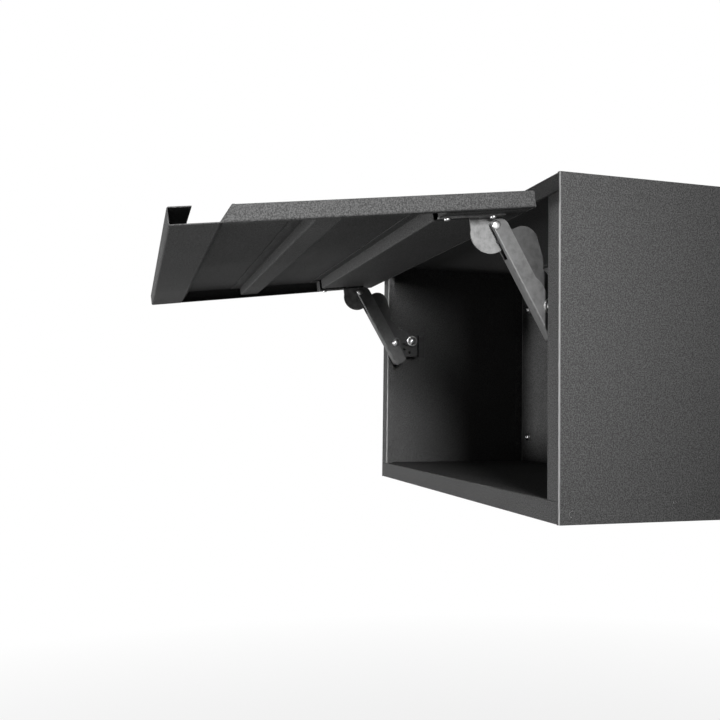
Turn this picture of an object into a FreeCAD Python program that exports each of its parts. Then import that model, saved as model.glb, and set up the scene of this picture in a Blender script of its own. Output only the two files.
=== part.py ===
"""Wall-hung workshop cabinet with a lift-up flap door.

All sizes are in millimetres. The frame has +X to the right seen from the front, +Y towards
the wall and +Z up. Its origin is the middle of the four wall bolts, in the plane of the wall.

Helpers work in the cabinet's own side view: u is the distance in from the outer face of a
side, y the distance behind the front plane of the body and z the height above its base.
The door is drawn flat and then set into its open position, which is the rest position.
"""
import FreeCAD, Part
import math
import os

from FreeCAD import Placement, Rotation, Vector

# Body
WIDTH = 680.0
HEIGHT = 350.0
BODY_DEPTH = 262.0
SHEET = 1.0
BEND = 1.0
STILE = 28.0
TOP_RAIL = 20.0
BOTTOM_RAIL = 23.0
STILE_LIP = 10.0
RAIL_LIP = 10.0
SEAM_INSET = 4.5
SEAM_GAP = 0.3
JOINT_FLANGE = 14.0
REAR_FLANGE = 12.0
BACK_SETBACK = 9.3
BACK_FLANGE = 13.0
LIP_HOLE_RADIUS = 2.0
LIP_HOLE_HEIGHTS = (46.0, 156.0, HEIGHT - 36.0)
JOINING_HOLE_RADIUS = 3.5
JOINING_HOLE_INSET = 15.0
JOINING_HOLE_HEIGHT = 10.5
MIDDLE_HOLE_HEIGHT = 17.0

# Wall bolts
BOLT_RADIUS = 3.0
BOLT_NECK_RADIUS = 3.2
BOLT_NECK_REACH = 0.5
BOLT_CLEARANCE = 0.1
BOLT_INSET = 32.0
BOLT_EDGE = 65.0
BOLT_REACH = 6.0
BOLT_HEAD_RADIUS = 5.4
BOLT_HEAD_HEIGHT = 4.4
BOLT_WASHER_RADIUS = 7.5
BOLT_WASHER = 1.2

# Door
DOOR_LENGTH = HEIGHT
DOOR_THICKNESS = 16.5
DOOR_INSET = 1.5
DOOR_GAP = 1.5
DOOR_TILT = 7.2
DOOR_OPEN_Y = -25.6
DOOR_OPEN_Z = HEIGHT - 21.0
GRIP_WIDTH = 21.4
RECESS_WIDTH = 44.0
RECESS_SLOPE = 12.0
DOOR_LIP = 8.0
SIDE_FLANGE_CUT = 2.4

# Door stiffeners
RIB_CENTRE = 200.8
RIB_TOP = 27.5
RIB_HEIGHT = 11.5
RIB_FLANGE = 14.0
RIB_END_GAP = 10.0
CHANNEL_FRONT = 92.0
CHANNEL_REAR = SHEET + 0.2
CHANNEL_REAR_WALL = 12.0
CHANNEL_FLANGE = 11.0
CHANNEL_END_GAP = 10.0
NOTCH_START = 49.0
NOTCH_CLEARANCE = 0.8

# Lift linkage, pivots as distance behind the front plane and height
ARM_PIVOT = (8.0, HEIGHT - 131.0)
LINK_PIVOT = (37.5, HEIGHT - 127.0)
ARM_REACH = 49.0
LINK_REACH = 60.0
PIN_CLEARANCE = 0.06
RUNNING_GAP = 0.15

# Sheets and rooms of the linkage, one after the other from the carrier towards the middle
CARRIER_INNER = 34.3
ARM_WASHER = 1.55
ARM_SHEET = 1.5
LINK_ROOM = 2.1
LINK_SHEET = 2.0
LINK_TO_TAB = 1.4
BRACKET_SHEET = 2.0
TAB_ROOM = 3.5
ARM_OUTER = CARRIER_INNER + ARM_WASHER + RUNNING_GAP
LINK_OUTER = ARM_OUTER + ARM_SHEET + LINK_ROOM
BRACKET_TAB_INNER = LINK_OUTER + LINK_SHEET + LINK_TO_TAB + BRACKET_SHEET
ARM_WIDTH = BRACKET_TAB_INNER + TAB_ROOM + ARM_SHEET - ARM_OUTER

# Lift arm, a folded channel
ARM_BEND = 0.9
ARM_LEAN = 30.0
ARM_FRONT_EDGE = 5.2
ARM_TOP = 4.6
ARM_TAIL = 33.0
ARM_INNER_FLANGE = 20.5
ARM_OUTER_FLANGE = 17.5
ARM_TOP_ROUND = 9.0
ARM_TAIL_ROUND = 5.0
ARM_BOSS = 8.5
ARM_SHOULDER = 34.0
ARM_SLOT = 36.0
ARM_SLOT_LAND = 1.1

# Rear link, an ear-shaped plate between the arm's flanges
LINK_EYE = 5.6
LINK_KNUCKLE = (-21.5, HEIGHT - 66.0, 16.4)
LINK_BACK = (-12.5, HEIGHT - 84.0, 13.0)
LINK_WAIST = (-12.0, HEIGHT - 98.0, 12.5)
LINK_NECK = (12.0, HEIGHT - 117.0, 9.0)
LINK_FOOT = 9.0

# Door bracket, places as distance from the hinge edge and depth below the outer face
BRACKET_BEND = 1.0
BRACKET_FLANGE_WIDTH = 16.4
BRACKET_STRIP_WIDTH = 6.6
BRACKET_START = 22.5
BRACKET_STEP_CLEARANCE = 0.75
BRACKET_TAB_EDGE = 56.0
BRACKET_END = 93.0
BRACKET_LOBE = (36.0, 33.8, 20.8)
BRACKET_SLOT = (61.0, 69.0)
BRACKET_SLOT_RADIUS = 1.5
BRACKET_SCREW_PLACES = (35.0, 84.0)

# Wall bracket
WALL_BRACKET_SHEET = 2.0
WALL_BRACKET_BEND = 1.5
CARRIER_TOP = HEIGHT - 105.0
CARRIER_SLANT = ((21.0, CARRIER_TOP), (39.0, CARRIER_TOP - 12.0))
CARRIER_BOTTOM = HEIGHT - 152.0
CARRIER_REAR = 52.0
CARRIER_STEP = 19.0
CARRIER_EAR = 7.5
CARRIER_EAR_ROOT = (30.0, HEIGHT - 129.5, 14.0)
CARRIER_FOOT = 18.0
CARRIER_HOLES = ((26.5, HEIGHT - 140.5), (35.5, HEIGHT - 145.5))
CARRIER_HOLE_RADIUS = 2.2

# Rivets, bolts, washers and screws of the linkage
HEAD_RIM = 0.4
HEAD_TOP = 0.6
ARM_PIN_RADIUS = 4.0
DOOR_PIN_RADIUS = 3.2
LINK_BOLT_RADIUS = 4.0
LINK_RIVET_RADIUS = 3.0
RIVET_HEAD_RADIUS = 6.0
RIVET_HEAD_HEIGHT = 2.0
SMALL_HEAD_RADIUS = 4.6
SMALL_HEAD_HEIGHT = 1.4
LINK_HEAD_HEIGHT = 0.9
LINK_RIVET_GAP = 0.3
PIN_WASHER_RADIUS = 4.8
PIN_WASHER = 1.0
WASHER_RADIUS = 8.5
BOLT_CAP_RADIUS = 6.5
BOLT_CAP_HEIGHT = 4.0
BOLT_COLLAR = 1.2
NUT_ACROSS_FLATS = 13.0
NUT_HEIGHT = 4.5
SCREW_RADIUS = 1.8
SCREW_HEAD_RADIUS = 3.2
SCREW_HEAD_HEIGHT = 1.8
SCREW_GRIP = 5.0


def export(name, *solids):
    """Write one node, a solid or a group of separate solids."""
    shape = solids[0] if len(solids) == 1 else Part.makeCompound(list(solids))
    shape.exportStep(os.path.join("parts", name + ".step"))
    count = len(shape.Solids)
    print("%-24s %2d solids %9.0f mm3 valid %s" % (name, count, shape.Volume, shape.isValid()))


def mirrored(shape):
    """The same piece for the left side."""
    return shape.mirror(Vector(0, 0, 0), Vector(1, 0, 0))


def side_point(u, y, z):
    """A point of the right-hand side in the part's frame."""
    return Vector(WIDTH / 2 - u, y - BODY_DEPTH, z - HEIGHT / 2)


def turned(vector, degrees):
    """Turn a (y, z) pair by an angle."""
    c, s = math.cos(math.radians(degrees)), math.sin(math.radians(degrees))
    return (vector[0] * c - vector[1] * s, vector[0] * s + vector[1] * c)


def offset_corner(before, corner, after, distance):
    """The corner of a line of points after moving it sideways, to the left for distance > 0."""
    first = (corner - before).normalize()
    second = (after - corner).normalize()
    left_first = Vector(-first.y, first.x, 0)
    left_second = Vector(-second.y, second.x, 0)
    middle = left_first + left_second
    return corner + middle * (2 * distance / middle.dot(middle))


def offset_points(points, distance):
    """The line of points moved sideways by a distance."""
    moved = []
    for i, point in enumerate(points):
        if i == 0 or i == len(points) - 1:
            a, b = (points[0], points[1]) if i == 0 else (points[-2], points[-1])
            along = (b - a).normalize()
            moved.append(point + Vector(-along.y, along.x, 0) * distance)
        else:
            moved.append(offset_corner(points[i - 1], point, points[i + 1], distance))
    return moved


def rounded_edges(points, radii):
    """Straight runs joined by arcs, one radius for each inner point."""
    edges = []
    start = points[0]
    for i in range(1, len(points) - 1):
        into = (points[i] - points[i - 1]).normalize()
        out = (points[i + 1] - points[i]).normalize()
        turn = math.acos(max(-1.0, min(1.0, into.dot(out))))
        if radii[i - 1] < 1e-6 or turn < 1e-6:
            edges.append(Part.LineSegment(start, points[i]).toShape())
            start = points[i]
            continue
        cut = radii[i - 1] * math.tan(turn / 2)
        a, b = points[i] - into * cut, points[i] + out * cut
        bisector = (out - into).normalize()
        centre = points[i] + bisector * (radii[i - 1] / math.cos(turn / 2))
        middle = centre - bisector * radii[i - 1]
        edges.append(Part.LineSegment(start, a).toShape())
        edges.append(Part.Arc(a, middle, b).toShape())
        start = b
    edges.append(Part.LineSegment(start, points[-1]).toShape())
    return edges


def rounded_plate(corners, radii):
    """Face inside a closed line of corners, each rounded by its own radius."""
    points = [Vector(a, b, 0) for a, b in corners]
    start = (points[-1] + points[0]) * 0.5
    return Part.Face(Part.Wire(rounded_edges([start] + points + [start], radii)))


def folded_face(outline, thickness, bend=BEND):
    """Section of a folded sheet whose one surface follows the outline.

    The sheet lies to the left of the outline for a positive thickness."""
    points = [Vector(a, b, 0) for a, b in outline]
    other = offset_points(points, thickness)
    near, far = [], []
    for i in range(1, len(points) - 1):
        cross = (points[i] - points[i - 1]).cross(points[i + 1] - points[i]).z
        inside = cross * thickness > 0
        near.append(bend + abs(thickness) if inside else bend)
        far.append(bend if inside else bend + abs(thickness))
    edges = rounded_edges(points, near)
    edges.append(Part.LineSegment(points[-1], other[-1]).toShape())
    edges += rounded_edges(other[::-1], far[::-1])
    edges.append(Part.LineSegment(other[0], points[0]).toShape())
    return Part.Face(Part.Wire(Part.__sortEdges__(edges)))


def extrude_x(face, start, end):
    """Extrude a section drawn as (Y, Z) along X."""
    turn = Rotation(Vector(0, 1, 0), Vector(0, 0, 1), Vector(1, 0, 0), "XYZ")
    placed = face.copy()
    placed.Placement = Placement(Vector(start, 0, 0), turn).multiply(face.Placement)
    return placed.extrude(Vector(end - start, 0, 0))


def extrude_z(face, start, end):
    """Extrude a section drawn as (X, Y) along Z."""
    placed = face.copy()
    placed.Placement = Placement(Vector(0, 0, start), Rotation()).multiply(face.Placement)
    return placed.extrude(Vector(0, 0, end - start))


def extrude_y(face, start, end):
    """Extrude a section drawn as (X, Z) along Y."""
    turn = Rotation(Vector(1, 0, 0), Vector(0, 0, 1), Vector(0, -1, 0), "XYZ")
    placed = face.copy()
    placed.Placement = Placement(Vector(0, start, 0), turn).multiply(face.Placement)
    return placed.extrude(Vector(0, end - start, 0))


def box(x0, x1, y0, y1, z0, z1):
    """A block between two corners."""
    return Part.makeBox(x1 - x0, y1 - y0, z1 - z0, Vector(x0, y0, z0))


def rod(start, end, radius):
    """A round bar between two points."""
    axis = end - start
    return Part.makeCylinder(radius, axis.Length, start, axis)


def button_head(seat, direction, radius, height):
    """A rivet or button head: a low rim, a cone and a flat top, on its seat."""
    rim, top = HEAD_RIM * height, HEAD_TOP * radius
    corners = [(0.0, 0.0), (radius, 0.0), (radius, rim), (top, height), (0.0, height), (0.0, 0.0)]
    section = Part.Face(Part.makePolygon([Vector(r, 0, h) for r, h in corners]))
    head = section.revolve(Vector(0, 0, 0), Vector(0, 0, 1), 360)
    head.Placement = Placement(seat, Rotation(Vector(0, 0, 1), direction))
    return head


def flat_head(seat, direction, radius, height):
    """A flat rivet or screw head on its seat."""
    return rod(seat, seat + direction * height, radius)


def disc(y, z, radius):
    """A round face of the side view."""
    return Part.Face(Part.Wire(Part.makeCircle(radius, Vector(y, z, 0))))


def polygon(corners):
    """A face of the side view with straight edges."""
    points = [Vector(a, b, 0) for a, b in corners]
    return Part.Face(Part.makePolygon(points + points[:1]))


def disc_chain(circles):
    """Faces that together wrap a chain of circles given as (y, z, radius)."""
    faces = [disc(*circle) for circle in circles]
    for first, second in zip(circles[:-1], circles[1:]):
        dy, dz = second[0] - first[0], second[1] - first[1]
        heading = math.atan2(dz, dy)
        lean = math.acos((first[2] - second[2]) / math.hypot(dy, dz))
        corners = []
        for circle, sign in ((first, 1), (second, 1), (second, -1), (first, -1)):
            angle = heading + sign * lean
            y = circle[0] + circle[2] * math.cos(angle)
            z = circle[1] + circle[2] * math.sin(angle)
            corners.append((y, z))
        faces.append(polygon(corners))
    return faces


def plate(faces, start, end):
    """One plate between two places along X, whose outline joins all the faces."""
    solids = [extrude_x(face, start, end) for face in faces]
    if len(solids) == 1:
        return solids[0]
    return solids[0].fuse(solids[1:]).removeSplitter()


def side_plate(faces, u_near, u_far):
    """A plate from side-view faces, between two distances from the outer side."""
    moved = [face.copy() for face in faces]
    for face in moved:
        face.translate(Vector(-BODY_DEPTH, -HEIGHT / 2, 0))
    return plate(moved, WIDTH / 2 - u_far, WIDTH / 2 - u_near)


def side_rod(pivot, u_near, u_far, radius):
    """A round bar along X through a pivot of the side view."""
    return rod(side_point(u_near, *pivot), side_point(u_far, *pivot), radius)


# Motion of the door between its two positions

def door_local(point):
    """The (s, d) of a side-view point that is fixed to the open door."""
    c, k = math.cos(math.radians(DOOR_TILT)), math.sin(math.radians(DOOR_TILT))
    dy, dz = point[0] - DOOR_OPEN_Y, point[1] - DOOR_OPEN_Z
    return (-c * dy - k * dz, k * dy - c * dz)


def motion_pole():
    """The one point that turning alone would carry the door about, from open to closed."""
    swing = math.radians(90.0 - DOOR_TILT)
    c, k = math.cos(swing), math.sin(swing)
    closed_y = -DOOR_GAP - DOOR_THICKNESS
    closed_z = HEIGHT
    a = closed_y - (c * DOOR_OPEN_Y - k * DOOR_OPEN_Z)
    b = closed_z - (k * DOOR_OPEN_Y + c * DOOR_OPEN_Z)
    scale = (1 - c) ** 2 + k ** 2
    return (((1 - c) * a - k * b) / scale, (k * a + (1 - c) * b) / scale)


def door_pivot(ground, reach):
    """Open place of the door pivot that keeps its distance to a fixed pivot at both ends."""
    pole = motion_pole()
    toward = (ground[0] - pole[0], ground[1] - pole[1])
    length = math.hypot(*toward)
    unit = turned((toward[0] / length, toward[1] / length), -(90.0 - DOOR_TILT) / 2)
    return (pole[0] + reach * unit[0], pole[1] + reach * unit[1])


def closed_place(point):
    """Where an open door point lies when the door is closed."""
    s, d = door_local(point)
    return (-DOOR_GAP - DOOR_THICKNESS + d, HEIGHT - s)


def swing_about(ground, point):
    """Angle that a link turns about its fixed pivot, from open to closed."""
    shut = closed_place(point)
    start = math.atan2(point[1] - ground[1], point[0] - ground[0])
    end = math.atan2(shut[1] - ground[1], shut[0] - ground[0])
    return math.degrees(end - start)


UPPER_PIVOT = door_pivot(ARM_PIVOT, ARM_REACH)
LINK_RIVET = door_pivot(LINK_PIVOT, LINK_REACH)


# Body

def side_panel():
    """Right side: outer skin, front stile with its lip, and rear flange, folded in one."""
    outer, front = WIDTH / 2, -BODY_DEPTH
    outline = [
        (outer - STILE, front + STILE_LIP),
        (outer - STILE, front),
        (outer, front),
        (outer, 0.0),
        (outer - REAR_FLANGE, 0.0),
    ]
    panel = extrude_z(folded_face(outline, SHEET), -HEIGHT / 2, HEIGHT / 2)
    for low, high in (
        (HEIGHT / 2 - TOP_RAIL, HEIGHT / 2),
        (-HEIGHT / 2, BOTTOM_RAIL - HEIGHT / 2),
    ):
        reach = front + STILE_LIP + SHEET
        panel = panel.cut(box(outer - STILE - SHEET, outer - SEAM_INSET, front - SHEET, reach, low, high))
    for height in LIP_HOLE_HEIGHTS:
        centre = side_point(STILE - 2 * SHEET, STILE_LIP / 2, height)
        panel = panel.cut(rod(centre, centre - Vector(4 * SHEET, 0, 0), LIP_HOLE_RADIUS))
    return panel.cut(joining_holes())


def joining_holes():
    """Bars that cut the holes where neighbouring cabinets are bolted together."""
    places = (
        (JOINING_HOLE_INSET, JOINING_HOLE_HEIGHT),
        (BODY_DEPTH / 2, MIDDLE_HOLE_HEIGHT),
        (BODY_DEPTH - JOINING_HOLE_INSET, JOINING_HOLE_HEIGHT),
    )
    bars = []
    for depth, height in places:
        start = side_point(-SHEET, depth, height)
        bars.append(rod(start, Vector(-start.x, start.y, start.z), JOINING_HOLE_RADIUS))
    return bars


def cross_panel(outline, low, high):
    """Top or bottom panel from its side section, trimmed between the sides' own flanges."""
    front = -BODY_DEPTH
    inner = WIDTH / 2 - SHEET
    panel = extrude_x(folded_face(outline, SHEET), -inner, inner)
    rail_end = WIDTH / 2 - SEAM_INSET - SEAM_GAP
    rear_end = WIDTH / 2 - REAR_FLANGE - SEAM_GAP
    for side in (1, -1):
        x0, x1 = sorted((side * rail_end, side * WIDTH / 2))
        panel = panel.cut(box(x0, x1, front - SHEET, front + RAIL_LIP + SHEET, low, high))
        x0, x1 = sorted((side * rear_end, side * WIDTH / 2))
        panel = panel.cut(box(x0, x1, -2 * SHEET - BEND, SHEET, low, high))
    return panel


def joint_strip(low, high):
    """Turned-down end of a top or bottom panel, lying on the inside of the right side."""
    inner = WIDTH / 2 - SHEET
    clear = 2 * SHEET
    start = RAIL_LIP + clear - BODY_DEPTH
    return box(inner - SHEET, inner, start, -BACK_SETBACK - BACK_FLANGE - clear, low, high)


def top_panel():
    """Top sheet with its front rail and lip, rear flange and two end strips."""
    front, top = -BODY_DEPTH, HEIGHT / 2
    rail = top - TOP_RAIL + SEAM_GAP
    outline = [(0.0, top - REAR_FLANGE), (0.0, top), (front, top), (front, rail), (front + RAIL_LIP, rail)]
    panel = cross_panel(outline, rail - SHEET, top + SHEET)
    lip_end = WIDTH / 2 - STILE - SEAM_GAP
    for side in (1, -1):
        x0, x1 = sorted((side * lip_end, side * WIDTH / 2))
        lip_root = front + SHEET + BEND
        panel = panel.cut(box(x0, x1, lip_root, front + RAIL_LIP + SHEET, rail - SHEET, rail + 2 * SHEET))
    strip = joint_strip(top - JOINT_FLANGE, top - SHEET / 2)
    return panel.fuse([strip, mirrored(strip)]).removeSplitter()


def bottom_panel():
    """Raised floor with its front rail, rear wall, lower lips and two end strips."""
    front, base = -BODY_DEPTH, -HEIGHT / 2
    floor = base + BOTTOM_RAIL
    outline = [
        (-RAIL_LIP, base),
        (0.0, base),
        (0.0, floor),
        (front, floor),
        (front, base),
        (front + RAIL_LIP, base),
    ]
    panel = cross_panel(outline, base - SHEET, floor + SHEET)
    strip = joint_strip(base, floor - SHEET / 2)
    return panel.fuse([strip, mirrored(strip)]).cut(joining_holes()).removeSplitter()


def back_panel():
    """Back sheet set in from the wall, with flanges turned forward along its sides and top."""
    edge = WIDTH / 2 - SHEET
    rear = -BACK_SETBACK
    root = rear - BACK_FLANGE
    low = BOTTOM_RAIL - HEIGHT / 2
    high = HEIGHT / 2 - SHEET
    outline = [(edge, root), (edge, rear), (-edge, rear), (-edge, root)]
    panel = extrude_z(folded_face(outline, SHEET), low, high)
    corner = 2 * SHEET + BEND
    top_flange = box(corner - edge, edge - corner, root, rear - SHEET / 2, high - SHEET, high)
    panel = panel.fuse(top_flange)
    for place in bolt_places():
        hole = rod(place - Vector(0, BACK_FLANGE, 0), place, BOLT_NECK_RADIUS + BOLT_CLEARANCE)
        panel = panel.cut(hole)
    return panel.removeSplitter()


# Wall bolts

def bolt_places():
    """Where the four wall bolts cross the plane of the wall."""
    x, z = WIDTH / 2 - BOLT_INSET, HEIGHT / 2 - BOLT_EDGE
    return [Vector(i * x, 0, k * z) for i in (1, -1) for k in (1, -1)]


def wall_bolt(place):
    """Button-head bolt through the back panel, its end standing out at the wall."""
    seat = place + Vector(0, -BACK_SETBACK - SHEET - BOLT_WASHER, 0)
    head = button_head(seat, Vector(0, -1, 0), BOLT_HEAD_RADIUS, BOLT_HEAD_HEIGHT)
    neck = rod(seat, place - Vector(0, BACK_SETBACK - BOLT_NECK_REACH, 0), BOLT_NECK_RADIUS)
    stud = rod(seat, place + Vector(0, BOLT_REACH, 0), BOLT_RADIUS)
    return stud.fuse([neck, head]).removeSplitter()


def wall_bolt_washer(place):
    """Flat washer under a wall bolt's head."""
    seat = place + Vector(0, -BACK_SETBACK - SHEET, 0)
    front = seat - Vector(0, BOLT_WASHER, 0)
    return rod(seat, front, BOLT_WASHER_RADIUS).cut(rod(seat, front, BOLT_NECK_RADIUS + BOLT_CLEARANCE))


# Wall bracket

def wall_bracket():
    """Carrier of the two fixed pivots: a folded pedestal welded to the right side panel."""
    foot, carrier = SHEET + WALL_BRACKET_SHEET, CARRIER_INNER
    section = [
        (foot, CARRIER_REAR + CARRIER_FOOT),
        (foot, CARRIER_REAR),
        (carrier, CARRIER_REAR),
        (carrier, CARRIER_STEP),
        (SHEET, CARRIER_STEP),
        (SHEET, CARRIER_STEP + CARRIER_FOOT),
    ]
    outline = [(WIDTH / 2 - u, y - BODY_DEPTH) for u, y in section]
    folded = folded_face(outline, WALL_BRACKET_SHEET, WALL_BRACKET_BEND)
    bracket = extrude_z(folded, CARRIER_BOTTOM - HEIGHT / 2, CARRIER_TOP - HEIGHT / 2)
    high, low = CARRIER_SLANT
    above, behind = CARRIER_TOP + SHEET, CARRIER_REAR + 2 * CARRIER_FOOT
    corner = polygon([high, low, (behind, low[1]), (behind, above), (high[0], above)])
    bracket = bracket.cut(side_plate([corner], 0.0, carrier + SHEET))
    ear = disc_chain([(ARM_PIVOT[0], ARM_PIVOT[1], CARRIER_EAR), CARRIER_EAR_ROOT])
    bracket = bracket.fuse(side_plate(ear, carrier - WALL_BRACKET_SHEET, carrier))
    for pivot, radius in (
        (ARM_PIVOT, ARM_PIN_RADIUS),
        (LINK_PIVOT, LINK_BOLT_RADIUS),
    ):
        bracket = bracket.cut(side_rod(pivot, foot, carrier + SHEET, radius + PIN_CLEARANCE))
    for place in CARRIER_HOLES:
        bracket = bracket.cut(side_rod(place, foot, carrier + SHEET, CARRIER_HOLE_RADIUS))
    return bracket.removeSplitter()


def arm_pivot_rivet():
    """Rivet that the lift arm turns on, headed behind the carrier and inside the arm."""
    back = CARRIER_INNER - WALL_BRACKET_SHEET
    front = ARM_OUTER + ARM_WIDTH + RUNNING_GAP
    shank = side_rod(ARM_PIVOT, back, front, ARM_PIN_RADIUS)
    toward_side = Vector(1, 0, 0)
    rear_head = flat_head(side_point(back, *ARM_PIVOT), toward_side, RIVET_HEAD_RADIUS, RIVET_HEAD_HEIGHT)
    head = button_head(side_point(front, *ARM_PIVOT), -toward_side, RIVET_HEAD_RADIUS, RIVET_HEAD_HEIGHT)
    return shank.fuse([rear_head, head]).removeSplitter()


def sleeve(pivot, u_near, u_far, outer_radius, pin_radius):
    """Washer, bush or spacer round a pin."""
    tube = side_rod(pivot, u_near, u_far, outer_radius)
    return tube.cut(side_rod(pivot, u_near, u_far, pin_radius + PIN_CLEARANCE))


def link_bolt():
    """Round-headed bolt with a collar that the rear link turns on."""
    start = CARRIER_INNER - WALL_BRACKET_SHEET - NUT_HEIGHT
    collar = LINK_OUTER + LINK_SHEET + RUNNING_GAP
    shank = side_rod(LINK_PIVOT, start, collar, LINK_BOLT_RADIUS)
    flange = side_rod(LINK_PIVOT, collar, collar + BOLT_COLLAR, WASHER_RADIUS)
    seat = side_point(collar + BOLT_COLLAR, *LINK_PIVOT)
    head = button_head(seat, Vector(-1, 0, 0), BOLT_CAP_RADIUS, BOLT_CAP_HEIGHT)
    return shank.fuse([flange, head]).removeSplitter()


def link_bolt_nut():
    """Hexagon nut behind the carrier."""
    flats, back = NUT_ACROSS_FLATS / 2, CARRIER_INNER - WALL_BRACKET_SHEET
    reach = flats / math.cos(math.radians(30))
    corners = []
    for i in range(6):
        angle = math.radians(60 * i)
        corners.append((LINK_PIVOT[0] + reach * math.cos(angle), LINK_PIVOT[1] + reach * math.sin(angle)))
    body = side_plate([polygon(corners)], back - NUT_HEIGHT, back)
    return body.cut(side_rod(LINK_PIVOT, back - NUT_HEIGHT, back, LINK_BOLT_RADIUS + PIN_CLEARANCE))


# Lift arm and rear link

def arm_placement():
    """Places a shape drawn in the arm's own axes: u across, depth behind the web, along the arm."""
    lean = math.radians(ARM_LEAN)
    back = Vector(0, math.cos(lean), math.sin(lean))
    down = Vector(0, math.sin(lean), -math.cos(lean))
    base = side_point(0, *UPPER_PIVOT) - back * ARM_FRONT_EDGE
    return Placement(base, Rotation(Vector(-1, 0, 0), back, down, "XYZ"))


def arm_place(point):
    """Depth behind the web and distance below the door pivot of a side-view point."""
    lean = math.radians(ARM_LEAN)
    dy, dz = point[0] - UPPER_PIVOT[0], point[1] - UPPER_PIVOT[1]
    depth = ARM_FRONT_EDGE + dy * math.cos(lean) + dz * math.sin(lean)
    return (depth, dy * math.sin(lean) - dz * math.cos(lean))


def arm_flange(width):
    """Faces of one flange of the arm, with a boss round the wall pivot."""
    depth, along = arm_place(ARM_PIVOT)
    tail = along + ARM_TAIL
    widest = max(width, ARM_INNER_FLANGE)
    shoulder = along - ARM_SHOULDER
    corners = [
        (0.0, -ARM_TOP),
        (width, -ARM_TOP),
        (width, shoulder),
        (widest, shoulder + ARM_BOSS),
        (widest, tail),
        (0.0, tail),
    ]
    radii = [ARM_TAIL_ROUND / 2, ARM_TOP_ROUND, 0.0, 0.0, ARM_TAIL_ROUND, ARM_TAIL_ROUND]
    return [rounded_plate(corners, radii), disc(depth, along, ARM_BOSS)]


def stay_arm():
    """Lift arm: a folded channel, slotted at the top for the door bracket's tab."""
    deep = 2 * ARM_INNER_FLANGE
    far = ARM_OUTER + ARM_WIDTH
    depth, along = arm_place(ARM_PIVOT)
    outline = [(ARM_OUTER, deep), (ARM_OUTER, 0.0), (far, 0.0), (far, deep)]
    channel = extrude_z(folded_face(outline, ARM_SHEET, ARM_BEND), -2 * ARM_TOP, along + 2 * ARM_TAIL)
    middle = ARM_OUTER + ARM_WIDTH / 2
    outer_half = plate(arm_flange(ARM_OUTER_FLANGE), ARM_OUTER, middle)
    inner_half = plate(arm_flange(ARM_INNER_FLANGE), middle, far)
    arm = channel.common(outer_half.fuse(inner_half))
    land = ARM_SHEET + ARM_SLOT_LAND
    arm = arm.cut(box(ARM_OUTER + land, far - land, -ARM_SHEET, 2 * ARM_SHEET, -2 * ARM_TOP, ARM_SLOT))
    for hole, place in ((ARM_PIN_RADIUS, (depth, along)), (DOOR_PIN_RADIUS, (ARM_FRONT_EDGE, 0.0))):
        start = Vector(ARM_OUTER - ARM_SHEET, *place)
        end = Vector(far + ARM_SHEET, *place)
        arm = arm.cut(rod(start, end, hole + PIN_CLEARANCE))
    arm.Placement = arm_placement()
    return arm.removeSplitter()


def door_pin():
    """Rivet through the top of the arm that carries the door bracket's tab."""
    far = ARM_OUTER + ARM_WIDTH
    shank = side_rod(UPPER_PIVOT, ARM_OUTER, far, DOOR_PIN_RADIUS)
    heads = [
        flat_head(side_point(u, *UPPER_PIVOT), toward, SMALL_HEAD_RADIUS, SMALL_HEAD_HEIGHT)
        for u, toward in ((ARM_OUTER, Vector(1, 0, 0)), (far, Vector(-1, 0, 0)))
    ]
    return shank.fuse(heads).removeSplitter()


def door_pin_washers():
    """Two washers on the door pin, one on each side of the tab."""
    near = BRACKET_TAB_INNER - BRACKET_SHEET - RUNNING_GAP
    far = BRACKET_TAB_INNER + RUNNING_GAP
    return [
        sleeve(UPPER_PIVOT, near - PIN_WASHER, near, PIN_WASHER_RADIUS, DOOR_PIN_RADIUS),
        sleeve(UPPER_PIVOT, far, far + PIN_WASHER, PIN_WASHER_RADIUS, DOOR_PIN_RADIUS),
    ]


def rear_link():
    """Ear-shaped link from the wall bracket to the door bracket's tab."""
    circles = [
        (LINK_RIVET[0], LINK_RIVET[1], LINK_EYE),
        LINK_KNUCKLE,
        LINK_BACK,
        LINK_WAIST,
        LINK_NECK,
        (LINK_PIVOT[0], LINK_PIVOT[1], LINK_FOOT),
    ]
    link = side_plate(disc_chain(circles), LINK_OUTER, LINK_OUTER + LINK_SHEET)
    for pivot, radius in ((LINK_PIVOT, LINK_BOLT_RADIUS), (LINK_RIVET, LINK_RIVET_RADIUS)):
        hole = side_rod(pivot, LINK_OUTER, LINK_OUTER + LINK_SHEET, radius + PIN_CLEARANCE)
        link = link.cut(hole)
    return link


def rivet_gap_plane():
    """Distance from the outer side where the link's rivet ends and the tab's rivet begins."""
    link_face = LINK_OUTER + LINK_SHEET
    tab_face = BRACKET_TAB_INNER - BRACKET_SHEET
    return (link_face + tab_face) / 2


def link_rivet():
    """Rivet in the link's upper eye."""
    end = rivet_gap_plane() - LINK_RIVET_GAP / 2
    seat = side_point(LINK_OUTER, *LINK_RIVET)
    head = flat_head(seat, Vector(1, 0, 0), SMALL_HEAD_RADIUS, LINK_HEAD_HEIGHT)
    return side_rod(LINK_RIVET, LINK_OUTER, end, LINK_RIVET_RADIUS).fuse(head).removeSplitter()


def tab_rivet():
    """Rivet in the tab of the door bracket, facing the link's rivet."""
    start = rivet_gap_plane() + LINK_RIVET_GAP / 2
    seat = side_point(BRACKET_TAB_INNER, *LINK_RIVET)
    head = flat_head(seat, Vector(-1, 0, 0), SMALL_HEAD_RADIUS, SMALL_HEAD_HEIGHT)
    return side_rod(LINK_RIVET, start, BRACKET_TAB_INNER, LINK_RIVET_RADIUS).fuse(head).removeSplitter()


# Door, drawn flat: y is minus the distance from the hinge edge, z minus the depth

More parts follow.
